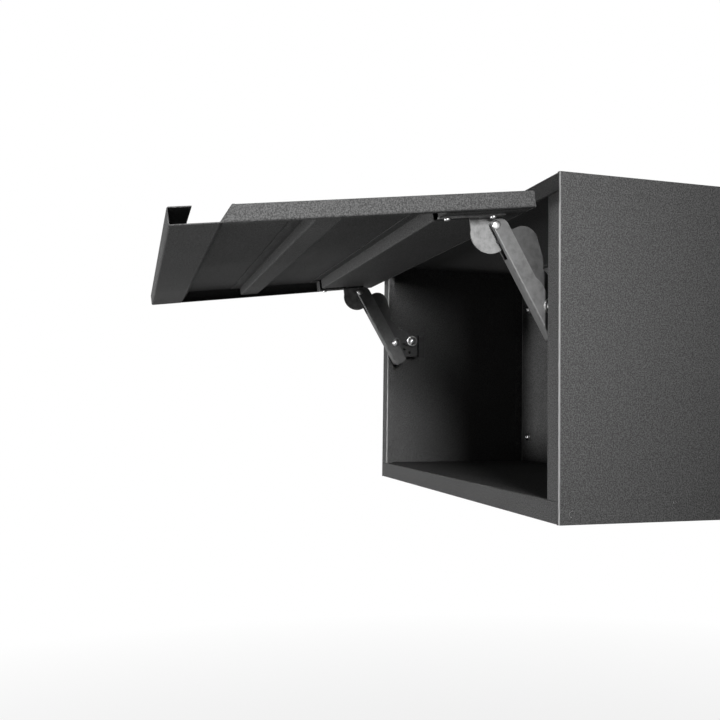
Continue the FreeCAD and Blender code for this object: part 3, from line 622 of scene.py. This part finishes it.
class GridPattern:
    """A Geometry Nodes tree that repeats one template piece in a grid.

    Attributes:
        INPUTS: what the tree is told, with the kind of each socket.
    """

    INPUTS = (
        ("Template", "NodeSocketObject"),
        ("Start", "NodeSocketVector"),
        ("Column step", "NodeSocketVector"),
        ("Columns", "NodeSocketInt"),
        ("Row step", "NodeSocketVector"),
        ("Rows", "NodeSocketInt"),
        ("Finish", "NodeSocketMaterial"),
    )

    def __init__(self) -> None:
        """Build the tree once; every pattern on the object uses it."""
        self.tree = bpy.data.node_groups.new("grid_pattern", "GeometryNodeTree")
        interface = self.tree.interface
        interface.new_socket("Geometry", in_out="OUTPUT", socket_type="NodeSocketGeometry")
        self.sockets = {
            name: interface.new_socket(name, in_out="INPUT", socket_type=kind).identifier
            for name, kind in self.INPUTS
        }
        graph = NodeGraph(self.tree)
        given = graph.add("NodeGroupInput")
        columns = graph.add("GeometryNodeMeshLine")
        graph.link(given, "Start", columns, "Start Location")
        graph.link(given, "Column step", columns, "Offset")
        graph.link(given, "Columns", columns, "Count")
        rows = graph.add("GeometryNodeMeshLine")
        graph.link(given, "Row step", rows, "Offset")
        graph.link(given, "Rows", rows, "Count")
        spread = graph.add("GeometryNodeInstanceOnPoints")
        graph.link(columns, "Mesh", spread, "Points")
        graph.link(rows, "Mesh", spread, "Instance")
        places = graph.add("GeometryNodeRealizeInstances")
        graph.link(spread, "Instances", places, "Geometry")
        template = graph.add("GeometryNodeObjectInfo")
        graph.link(given, "Template", template, "Object")
        copies = graph.add("GeometryNodeInstanceOnPoints")
        graph.link(places, "Geometry", copies, "Points")
        graph.link(template, "Geometry", copies, "Instance")
        whole = graph.add("GeometryNodeRealizeInstances")
        graph.link(copies, "Instances", whole, "Geometry")
        finish = graph.add("GeometryNodeSetMaterial")
        graph.link(whole, "Geometry", finish, "Geometry")
        graph.link(given, "Finish", finish, "Material")
        result = graph.add("NodeGroupOutput")
        graph.link(finish, "Geometry", result, "Geometry")

    def make(self, name: str, template: bpy.types.Mesh, start: Vector, across: Row, along: Row,
             finish: Finish) -> bpy.types.Object:
        """Repeat a template and return the result as one plain mesh object.

        Args:
            name: the new piece's name.
            template: mesh of one copy, about its own origin.
            start: place of the first copy.
            across: the row that starts there.
            along: the row in which that row is repeated.
            finish: finish of all copies.

        Returns:
            The new object, with its place in its mesh.
        """
        pattern = add_object(name + "_template", template)
        holder = add_object(name + "_holder", bpy.data.meshes.new(name + "_holder"))
        modifier = holder.modifiers.new("grid", "NODES")
        modifier.node_group = self.tree
        grid = (across.step, across.count, along.step, along.count)
        values = (pattern, start, *grid, finish.material())
        for (socket, _), value in zip(self.INPUTS, values):
            modifier[self.sockets[socket]] = value
        bpy.context.view_layer.update()
        graph = bpy.context.evaluated_depsgraph_get()
        mesh = bpy.data.meshes.new_from_object(holder.evaluated_get(graph))
        mesh.name = name
        holder.modifiers.remove(modifier)
        bpy.data.objects.remove(holder)
        bpy.data.objects.remove(pattern)
        return add_object(name, mesh)


def dress(nodes: Sequence[str], finish: Finish) -> None:
    """Give CAD nodes a finish.

    Args:
        nodes: names of the nodes.
        finish: the finish that all of them get.
    """
    for name in nodes:
        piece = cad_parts[name]
        piece.data.materials.clear()
        piece.data.materials.append(finish.material())
        log.info("%s gets %s", name, finish.name)


def settle(piece: bpy.types.Object, body: str) -> None:
    """Let a new piece move with a body and log it.

    Args:
        piece: the new piece.
        body: the body that it moves with.
    """
    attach(piece, body)
    log.info("%s rides on %s with %d faces", piece.name, body, len(piece.data.polygons))


def along_x(side: int) -> Matrix:
    """Turn a piece drawn along +Z to lie along X, pointing away from the given side."""
    return Matrix.Rotation(-side * QUARTER_TURN, 4, "Y")


def on_door(along: float, depth: float, across: float = 0.0) -> Vector:
    """A point of the open door.

    Args:
        along: distance from the hinge edge.
        depth: distance below the door's outer face.
        across: place along X.

    Returns:
        The point in the frame of the part.
    """
    _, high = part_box("door_panel")
    tilt_y = Vector((0, -math.cos(DOOR_TILT), -math.sin(DOOR_TILT)))
    tilt_z = Vector((0, math.sin(DOOR_TILT), -math.cos(DOOR_TILT)))
    corner = Vector((0, high.y - DOOR_THICKNESS * math.sin(DOOR_TILT), high.z))
    return corner + Vector((across, 0, 0)) + tilt_y * along + tilt_z * depth


class Head(NamedTuple):
    """A pin's round head or collar.

    Attributes:
        radius: its radius.
        height: its height.
    """

    radius: float
    height: float


@dataclass(frozen=True)
class Pin:
    """A rivet or bolt that lies along X, on one side of the cabinet or on both.

    Attributes:
        node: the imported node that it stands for.
        body: the body that it moves with.
        shank: radius of the shank.
        length: distance between the seats of its two heads.
        outer: the head nearer to the cabinet's outside.
        inner: the head nearer to the cabinet's middle.
        collar: a collar under the inner head, if it has one.
        bevel: height at which the collar's bevel starts and radius at which it ends, as
            shares of the collar's own.
        sides: points round the pin.
    """

    node: str
    body: str
    shank: float
    length: float
    outer: Head
    inner: Head
    collar: Head | None = None
    bevel: tuple[float, float] = (0.8, 0.94)
    sides: int = 40

    def template(self) -> bpy.types.Mesh:
        """The pin drawn along Z, from its outer end at z = 0 to its inner end.

        Returns:
            The pin's mesh.
        """
        rings = dome_rings(self.outer.height, 0.0, self.outer.radius)[::-1]
        seat = self.outer.height + self.length
        rings += [(self.outer.height, self.shank), (seat, self.shank)]
        if self.collar is not None:
            wide, thick = self.collar
            start, end = self.bevel
            rings += [(seat, wide), (seat + start * thick, wide), (seat + thick, end * wide)]
            seat += thick
        rings += dome_rings(seat, seat + self.inner.height, self.inner.radius)
        return ring_stack(self.node, rings, self.sides)

    def build(self) -> None:
        """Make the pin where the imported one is, and let it stand for that one."""
        low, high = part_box(self.node)
        built = bmesh.new()
        for side, reach in ((1, high.x), (-1, low.x)):
            if reach * side < 0:
                continue
            mesh = self.template()
            middle = Vector((reach, (low.y + high.y) / 2, (low.z + high.z) / 2))
            mesh.transform(Matrix.Translation(middle) @ along_x(side))
            built.from_mesh(mesh)
            bpy.data.meshes.remove(mesh)
        whole = plain_mesh(self.node + "_detail", built)
        whole.materials.append(BRIGHT.material())
        piece = add_object(self.node + "_detail", whole)
        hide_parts(self.node)
        settle(piece, self.body)


@dataclass
class WallBolts:
    """Four socket-head bolts that hold the cabinet to the wall.

    Attributes:
        head: radius of the head.
        rim: height of the head's upright rim, as a share of the head's height.
        crown: radius of the flat on the head, as a share of the head's radius.
        socket: distance across the flats of the hexagon socket.
        socket_depth: depth of the socket's flats.
        socket_tip: depth of the drilled tip below them.
        bevel: depth of the bevel at the socket's mouth.
        bevel_gain: how much wider across its flats the mouth is than the socket.
        neck: radius of the plain neck.
        neck_length: length of the plain neck.
        thread: outer radius of the thread.
        pitch: pitch of the thread.
        chamfer: length of the chamfer at the bolt's end.
        end: radius of the bolt's end, as a share of the thread's radius.
        sides: points round the bolt.
    """

    head: float = 5.4 * MM
    rim: float = 0.3
    crown: float = 0.62
    socket: float = 4.0 * MM
    socket_depth: float = 2.6 * MM
    socket_tip: float = 0.5 * MM
    bevel: float = 0.3 * MM
    bevel_gain: float = 0.5 * MM
    neck: float = 3.2 * MM
    neck_length: float = 2.7 * MM
    thread: float = 3.0 * MM
    pitch: float = 1.0 * MM
    chamfer: float = 0.4 * MM
    end: float = 0.8
    sides: int = 36

    def template(self, length: float, dome: float) -> bpy.types.Mesh:
        """One bolt with its head up and its seat at z = 0.

        Args:
            length: length below the head.
            dome: height of the head.

        Returns:
            The bolt's mesh.
        """
        rings = [(-length, self.end * self.thread)]
        rings += threaded_rings(self.chamfer - length, -self.neck_length, self.thread, self.pitch)
        rings += [(-self.neck_length, self.neck), (0.0, self.neck), (0.0, self.head)]
        rings += dome_rings(self.rim * dome, dome, self.head, self.crown * self.head)
        floor = dome - self.socket_depth
        rings += [
            (dome, hexagon_ring(self.socket + self.bevel_gain)),
            (dome - self.bevel, hexagon_ring(self.socket)),
            (floor, hexagon_ring(self.socket)),
            (floor - self.socket_tip, RECESS_POINT),
        ]
        return ring_stack("wall_bolt", rings, self.sides)

    def build(self, pattern: GridPattern) -> None:
        """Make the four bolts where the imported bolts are, and let them stand for those.

        Args:
            pattern: the tree that repeats them.
        """
        low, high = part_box("wall_bolts")
        washer_low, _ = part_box("wall_bolt_washers")
        seat = washer_low.y
        mesh = self.template(high.y - seat, seat - low.y)
        mesh.transform(Matrix.Rotation(QUARTER_TURN, 4, "X"))
        start = Vector((low.x + self.head, seat, low.z + self.head))
        across = Row(Vector((high.x - low.x - 2 * self.head, 0, 0)), 2)
        up = Row(Vector((0, 0, high.z - low.z - 2 * self.head)), 2)
        bolts = pattern.make("wall_bolts_detail", mesh, start, across, up, BOLT_BRIGHT)
        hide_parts("wall_bolts")
        settle(bolts, "cabinet")


@dataclass
class ShadeHoleCaps:
    """Sunk caps that close the joining holes near the lower edge of both sides.

    They are painted shade: dark pieces that stand in for the darkness seen through the open holes.

    Attributes:
        radius: radius of a cap.
        edge: radius of its two faces, as a share of the cap's radius.
        half: half of a cap's thickness.
        sink: depth of a cap's middle below the side's outer face.
        inset: distance of the outer holes from the front and the wall.
        corner_height: height of the outer holes above the base.
        middle_height: height of the middle hole above the base.
        sides: points round a cap.
    """

    radius: float = 3.35 * MM
    edge: float = 0.9
    half: float = 0.3 * MM
    sink: float = 0.55 * MM
    inset: float = 15.0 * MM
    corner_height: float = 10.5 * MM
    middle_height: float = 17.0 * MM
    sides: int = 32

    def build(self, pattern: GridPattern) -> None:
        """Make the caps of both sides.

        Args:
            pattern: the tree that repeats them.
        """
        low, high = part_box("side_panel_right")
        across = Row(Vector((2 * (high.x - self.sink), 0, 0)), 2)
        back = Row(Vector((0, high.y - low.y - 2 * self.inset, 0)), 2)
        places = (
            ("corner_caps", low.y + self.inset, self.corner_height, back),
            ("middle_caps", (low.y + high.y) / 2, self.middle_height, ALONE),
        )
        face = self.edge * self.radius
        rings = [(-self.half, face), (0.0, self.radius), (self.half, face)]
        for name, y, height, along in places:
            mesh = ring_stack(name, rings, self.sides)
            mesh.transform(Matrix.Rotation(QUARTER_TURN, 4, "Y"))
            start = Vector((self.sink - high.x, y, low.z + height))
            # painted shade: dark caps of body coat fill the open joining holes
            caps = pattern.make(name, mesh, start, across, along, BODY_COAT)
            settle(caps, "cabinet")


@dataclass
class CabinetBody:
    """The folded box: sides, top, bottom and back, with wall bolts, weld marks and dark caps as painted
    shade in the joining holes.

    Attributes:
        panels: nodes with the dark coat.
        bright: fasteners with a bright finish.
        zinc: zinc-plated pieces, which get the darker zinc with painted shade.
        sheet: thickness of the sheet.
        weld_radius: outer radius of a weld mark.
        weld_rows: weld marks down one flange.
        weld_margin: distance of the first and the last of them from the flange's ends.
        weld_inset: distance of the marks from the flange's front edge.
        bolts: the wall bolts.
        caps: dark caps in the joining holes, as painted shade.
        pins: rivets and bolts of the stays that stay with the cabinet.
    """

    panels: tuple[str, ...] = (
        "side_panel_left", "side_panel_right", "top_panel", "bottom_panel", "back_panel",
    )
    bright: tuple[str, ...] = (
        "wall_bolts", "wall_bolt_washers", "arm_pivot_rivets", "arm_pivot_washers",
        "link_pivot_bolts", "link_pivot_nuts", "link_pivot_spacers",
    )
    zinc: tuple[str, ...] = ("wall_bracket_left", "wall_bracket_right")
    sheet: float = 1.0 * MM
    weld_radius: float = 2.6 * MM
    weld_rows: int = 5
    weld_margin: float = 30.0 * MM
    weld_inset: float = 5.0 * MM
    bolts: WallBolts = field(default_factory=WallBolts)
    caps: ShadeHoleCaps = field(default_factory=ShadeHoleCaps)
    pins: tuple[Pin, ...] = (
        Pin("arm_pivot_rivets", "cabinet", shank=4.0 * MM, length=17.85 * MM,
            outer=Head(6.0 * MM, 2.0 * MM), inner=Head(6.0 * MM, 2.0 * MM)),
        Pin("link_pivot_bolts", "cabinet", shank=4.0 * MM, length=13.45 * MM,
            outer=Head(3.6 * MM, 0.5 * MM), inner=Head(6.5 * MM, 4.0 * MM),
            collar=Head(8.5 * MM, 1.2 * MM)),
    )

    def build(self, pattern: GridPattern) -> None:
        """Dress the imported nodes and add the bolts, pins, weld marks and caps.

        Args:
            pattern: the tree that repeats small pieces.
        """
        dress(self.panels, BODY_COAT)
        dress(self.bright, BRIGHT)
        dress(self.zinc, SHADED_LINK_ZINC)
        self.bolts.build(pattern)
        for pin in self.pins:
            pin.build()
        self.back_welds(pattern)
        self.caps.build(pattern)

    def back_welds(self, pattern: GridPattern) -> None:
        """Weld marks down both side flanges of the back panel, on their inner faces.

        Args:
            pattern: the tree that repeats them.
        """
        low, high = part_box("back_panel")
        step = (high.z - low.z - 2 * self.weld_margin) / (self.weld_rows - 1)
        sides = ((1, high.x, "back_welds_right"), (-1, low.x, "back_welds_left"))
        for side, outside, name in sides:
            mesh = weld_mark(self.weld_radius)
            mesh.transform(along_x(side))
            inside = outside - side * self.sheet
            start = Vector((inside, low.y + self.weld_inset, low.z + self.weld_margin))
            up = Row(Vector((0, 0, step)), self.weld_rows)
            marks = pattern.make(name, mesh, start, ALONE, up, BODY_COAT)
            settle(marks, "cabinet")


@dataclass
class BracketScrews:
    """Pan-head screws with a cross recess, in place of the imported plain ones.

    Attributes:
        head: radius of the head.
        dome: height of the head.
        rim: height of the head's upright rim, as a share of the head's height.
        crown: radius of the flat on the head, as a share of the head's radius.
        shank: radius of the shank.
        tip: radius of the shank's end.
        length: length below the head.
        chamfer: length of the chamfer at the shank's end.
        mouth: reach and width of the cross at its mouth.
        floor: reach and width of the cross at its floor.
        floor_height: height of that floor, as a share of the head's height.
        tip_height: height of the recess's lowest point, as a share of the head's height.
        columns: distance of the two pairs of screws from the door's hinge edge.
        seat: depth of the brackets' face below the door's outer face.
        sides: points round the screw.
    """

    head: float = 3.2 * MM
    dome: float = 1.8 * MM
    rim: float = 0.5
    crown: float = 0.7
    shank: float = 1.8 * MM
    tip: float = 1.4 * MM
    length: float = 4.0 * MM
    chamfer: float = 0.4 * MM
    mouth: tuple[float, float] = (1.75 * MM, 0.9 * MM)
    floor: tuple[float, float] = (1.1 * MM, 0.6 * MM)
    floor_height: float = 0.45
    tip_height: float = 0.3
    columns: tuple[float, float] = (35.0 * MM, 84.0 * MM)
    seat: float = 18.5 * MM
    sides: int = 48

    def template(self) -> bpy.types.Mesh:
        """One screw with its head up and its seat at z = 0.

        Returns:
            The screw's mesh.
        """
        rings = [(-self.length, self.tip), (self.chamfer - self.length, self.shank)]
        rings += [(0.0, self.shank), (0.0, self.head)]
        rings += dome_rings(self.rim * self.dome, self.dome, self.head, self.crown * self.head, steps=4)
        rings += [
            (self.dome, cross_ring(*self.mouth)),
            (self.floor_height * self.dome, cross_ring(*self.floor)),
            (self.tip_height * self.dome, RECESS_POINT),
        ]
        return ring_stack("bracket_screw", rings, self.sides)

    def build(self, pattern: GridPattern) -> None:
        """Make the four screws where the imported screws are, and let them stand for those.

        Args:
            pattern: the tree that repeats them.
        """
        low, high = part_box("door_bracket_screws")
        mesh = self.template()
        mesh.transform(DOWN_FROM_DOOR)
        first, last = self.columns
        start = on_door(first, self.seat, low.x + self.head)
        across = Row(Vector((high.x - low.x - 2 * self.head, 0, 0)), 2)
        along = Row(on_door(last, self.seat) - on_door(first, self.seat), 2)
        screws = pattern.make("bracket_screws_detail", mesh, start, across, along, BRIGHT)
        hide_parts("door_bracket_screws")
        settle(screws, "door")


@dataclass
class FlapDoor:
    """The door tray, its stiffeners, dark fillers in the corners of its grip and the screws of its
    brackets.

    Attributes:
        sheets: nodes with the dark coat.
        bright: fasteners with a bright finish.
        zinc: zinc-plated pieces.
        weld_radius: outer radius of a weld mark.
        weld_columns: weld marks along one flange.
        weld_span: distance from the first to the last of them.
        rib_flanges: distance of the rib's two flanges from the hinge edge.
        channel_flange: distance of the channel's flange from the hinge edge.
        flange_depth: depth of the flanges' visible face below the door's outer face.
        filler_corners: corners of the dark filler between a side flange and the grip's slope, each as
            its
        distance from the hinge edge and its depth below the door's outer face.
        filler_reach: distance of the filler's two faces from the door's middle.
        screws: the screws of both brackets.
    """

    sheets: tuple[str, ...] = ("door_panel", "door_rib", "door_channel")
    bright: tuple[str, ...] = ("door_bracket_screws", "door_bracket_rivets")
    zinc: tuple[str, ...] = ("door_bracket_left", "door_bracket_right")
    weld_radius: float = 2.8 * MM
    weld_columns: int = 9
    weld_span: float = 600.0 * MM
    rib_flanges: tuple[float, float] = (180.0 * MM, 221.6 * MM)
    channel_flange: float = 98.0 * MM
    flange_depth: float = 2.0 * MM
    filler_corners: tuple[tuple[float, float], ...] = (
        (292.3 * MM, 0.7 * MM), (293.6 * MM, 0.7 * MM),
        (305.6 * MM, 16.0 * MM), (303.1 * MM, 16.0 * MM),
    )
    filler_reach: tuple[float, float] = (337.6 * MM, 338.4 * MM)
    screws: BracketScrews = field(default_factory=BracketScrews)

    def build(self, pattern: GridPattern) -> None:
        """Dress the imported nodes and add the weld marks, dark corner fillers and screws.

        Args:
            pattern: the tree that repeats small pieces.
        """
        dress(self.sheets, DOOR_COAT)
        dress(self.bright, BRIGHT)
        dress(self.zinc, TAB_ZINC)
        self.welds(pattern, "rib_welds", self.rib_flanges)
        self.welds(pattern, "channel_welds", (self.channel_flange,))
        self.shade_fillers()
        self.screws.build(pattern)

    def welds(self, pattern: GridPattern, name: str, flanges: Sequence[float]) -> None:
        """A row of weld marks on each of one or two flanges.

        Args:
            pattern: the tree that repeats them.
            name: the new piece's name.
            flanges: distance of the flanges from the hinge edge.
        """
        mesh = weld_mark(self.weld_radius)
        mesh.transform(DOWN_FROM_DOOR)
        first, last = (on_door(flange, self.flange_depth) for flange in (flanges[0], flanges[-1]))
        start = first - Vector((self.weld_span / 2, 0, 0))
        across = Row(Vector((self.weld_span / (self.weld_columns - 1), 0, 0)), self.weld_columns)
        along = Row(last - first, len(flanges))
        marks = pattern.make(name, mesh, start, across, along, DOOR_COAT)
        settle(marks, "door")

    def shade_fillers(self) -> None:
        """Close the corner between each side flange and the slope of the grip.

        The dark sheet is painted shade: it stands in for the darkness seen through the open corner.
        """
        # painted shade: a dark sheet of door coat fills each open corner of the grip
        built = bmesh.new()
        for side in (1, -1):
            inner, outer = (
                [built.verts.new(on_door(along, depth, side * reach)) for along, depth in self.filler_corners]
                for reach in self.filler_reach
            )
            built.faces.new(inner)
            built.faces.new(outer)
            for first in range(len(self.filler_corners)):
                after = (first + 1) % len(self.filler_corners)
                built.faces.new((inner[first], inner[after], outer[after], outer[first]))
        bmesh.ops.recalc_face_normals(built, faces=built.faces)
        mesh = plain_mesh("grip_seams", built)
        mesh.materials.append(DOOR_COAT.material())
        settle(add_object("grip_seams", mesh), "door")


@dataclass
class LiftStays:
    """The two stays: folded arms, ear-shaped rear links and their pins.

    Attributes:
        arms: the folded arms.
        links: the rear links, which get the darker zinc with painted shade.
        bright: fasteners with a bright finish.
        pins: the pins on which the door turns at the arms.
    """

    arms: tuple[str, ...] = ("stay_arm_left", "stay_arm_right")
    links: tuple[str, ...] = ("rear_link_left", "rear_link_right")
    bright: tuple[str, ...] = (
        "door_pivot_pin_left", "door_pivot_pin_right", "door_pivot_washers_left",
        "door_pivot_washers_right", "rear_link_rivet_left", "rear_link_rivet_right",
    )
    pins: tuple[Pin, ...] = tuple(
        Pin("door_pivot_pin_" + side, "arm_" + side, shank=3.2 * MM, length=14.0 * MM,
            outer=Head(4.6 * MM, 1.4 * MM), inner=Head(4.6 * MM, 1.4 * MM))
        for side in ("right", "left")
    )

    def build(self) -> None:
        """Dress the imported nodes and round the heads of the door's pivot pins."""
        dress(self.arms, ARM_ZINC)
        dress(self.links, SHADED_LINK_ZINC)
        dress(self.bright, BRIGHT)
        for pin in self.pins:
            pin.build()


@dataclass
class Lamp:
    """A square soft lamp.

    Attributes:
        name: the lamp's name.
        place: where it hangs.
        aim: the point it shines at.
        size: length of its sides.
        power: its power in watts.
        spread: angle over which its light fans out, in degrees.
    """

    name: str
    place: tuple[float, float, float]
    aim: tuple[float, float, float]
    size: float
    power: float
    spread: float = 180.0

    def build(self) -> None:
        """Hang the lamp and turn it to its aim."""
        data = bpy.data.lights.new(self.name, "AREA")
        data.shape = "SQUARE"
        data.size = self.size
        data.energy = self.power
        data.spread = math.radians(self.spread)
        lamp = add_object(self.name, data)
        lamp.location = self.place
        direction = Vector(self.aim) - Vector(self.place)
        lamp.rotation_euler = direction.to_track_quat("-Z", "Y").to_euler()


@dataclass
class PhotoCamera:
    """The photograph's camera, as found by fitting the cabinet's straight edges.

    Attributes:
        place: where the camera stands, in the frame of the part.
        yaw: turn of the view to the left of +Y, in radians.
        pitch: upward tilt, in radians.
        roll: turn of the picture, in radians.
        picture: width of the picture in pixels.
        focal: focal length in pixels of that picture.
        centre_column: column of the picture that the lens axis meets.
        sensor: width of the sensor in millimetres.
    """

    place: tuple[float, float, float] = (1.17433, -0.65897, -0.06121)
    yaw: float = 1.24202
    pitch: float = 0.05122
    roll: float = 0.00852
    picture: float = 720.0
    focal: float = 934.678
    centre_column: float = 450.967
    sensor: float = 36.0

    def build(self) -> None:
        """Make the camera and let the scene use it."""
        data = bpy.data.cameras.new("camera")
        data.sensor_width = self.sensor
        data.lens = self.focal / self.picture * self.sensor
        data.shift_x = (self.picture / 2 - self.centre_column) / self.picture
        forward = Vector((
            -math.sin(self.yaw) * math.cos(self.pitch),
            math.cos(self.yaw) * math.cos(self.pitch),
            math.sin(self.pitch),
        ))
        right = Vector((math.cos(self.yaw), math.sin(self.yaw), 0))
        up = right.cross(forward)
        right_rolled = right * math.cos(self.roll) + up * math.sin(self.roll)
        up_rolled = up * math.cos(self.roll) - right * math.sin(self.roll)
        turn = Matrix((right_rolled, up_rolled, -forward)).transposed()
        camera = add_object("camera", data)
        camera.matrix_world = Matrix.Translation(self.place) @ turn.to_4x4()
        bpy.context.scene.camera = camera


@dataclass
class Studio:
    """Pale ground, white surroundings and four soft lamps.

    Attributes:
        ground_reach: half the width of the ground.
        ground_drop: height at which the cabinet hangs above the ground.
        ambient: strength of the light from all around.
        lamps: the lamps.
        camera: the photograph's camera.
    """

    ground_reach: float = 12.0
    ground_drop: float = 1.0
    ambient: float = 0.24
    lamps: tuple[Lamp, ...] = (
        Lamp("key_lamp", (2.4, -0.57, 0.4), aim=(0.3, -0.6, 0.12), size=0.4, power=6.5, spread=42.0),
        Lamp("low_front_lamp", (-0.3, -3.0, -0.5), aim=(0.0, -0.1, -0.05), size=0.7, power=78.0),
        Lamp("top_lamp", (-0.3, 0.6, 2.4), aim=(0.0, -0.1, 0.0), size=1.6, power=15.0),
        Lamp("rear_lamp", (-2.2, 2.2, 1.0), aim=(0.0, 0.0, 0.1), size=1.6, power=36.0),
    )
    camera: PhotoCamera = field(default_factory=PhotoCamera)

    def build(self) -> None:
        """Set up ground, world, lamps and camera."""
        self.ground()
        self.world()
        for lamp in self.lamps:
            lamp.build()
        self.camera.build()
        bpy.context.scene.view_settings.view_transform = "Standard"

    def ground(self) -> None:
        """A flat sheet below the cabinet, which hangs as on its wall."""
        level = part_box("bottom_panel")[0].z - self.ground_drop
        signs = ((-1, -1), (1, -1), (1, 1), (-1, 1))
        corners = [(x * self.ground_reach, y * self.ground_reach, level) for x, y in signs]
        mesh = bpy.data.meshes.new("ground")
        mesh.from_pydata(corners, [], [(0, 1, 2, 3)])
        mesh.materials.append(GROUND.material())
        ground = add_object("ground", mesh)

    def world(self) -> None:
        """White for the camera and mirrors, and a soft even light for everything else."""
        world = bpy.data.worlds.new("studio")
        world.use_nodes = True
        bpy.context.scene.world = world
        graph = NodeGraph(world.node_tree)
        seen = graph.add("ShaderNodeBackground", {"Color": grey(1.0), "Strength": 1.0})
        even = graph.add("ShaderNodeBackground", {"Color": grey(1.0), "Strength": self.ambient})
        both = graph.add("ShaderNodeMixShader")
        graph.link(graph.seen_ray(), "Value", both, 0)
        graph.link(even, "Background", both, 1)
        graph.link(seen, "Background", both, 2)
        output = graph.add("ShaderNodeOutputWorld")
        graph.link(both, "Shader", output, "Surface")


def main() -> None:
    """Build every sub-assembly in order and set up the studio."""
    logging.basicConfig(level=logging.INFO, format="%(name)s: %(message)s")
    pattern = GridPattern()
    CabinetBody().build(pattern)
    FlapDoor().build(pattern)
    LiftStays().build()
    Studio().build()


if __name__ == "__main__":
    main()
